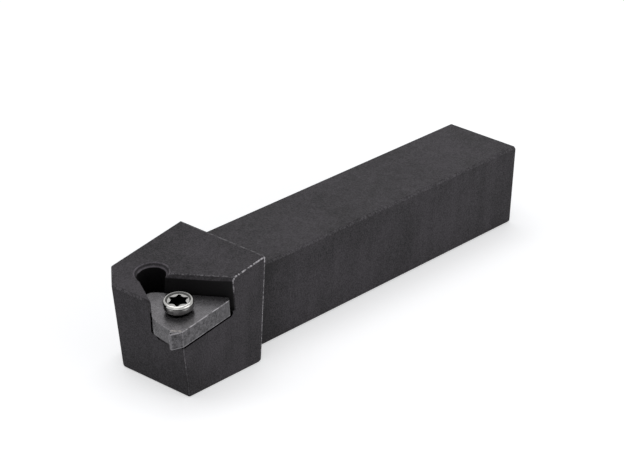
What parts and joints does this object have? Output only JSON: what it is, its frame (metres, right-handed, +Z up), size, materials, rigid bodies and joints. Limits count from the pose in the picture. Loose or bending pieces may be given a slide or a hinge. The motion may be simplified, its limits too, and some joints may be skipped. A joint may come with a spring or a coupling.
{
  "type": "threading tool holder",
  "caption": "Right-hand external threading tool holder: square steel shank and sloped head with a screwed-on triangular laydown threading insert.",
  "frame": {"origin": "middle of the shank's bottom seating face", "axes": "+Y along the shank to its rear end, the head toward -Y; +Z up to the clamped face; +X to the cutting side"},
  "size_m": [0.0201, 0.0999, 0.0202],
  "materials": {
    "black_steel": "satin black oxide",
    "carbide": "ground cemented carbide",
    "screw_steel": "bright turned steel"
  },
  "bodies": {
    "root": {"tool_holder": "black_steel", "threading_insert": "carbide", "insert_screw": "screw_steel"}
  },
  "joints": []
}
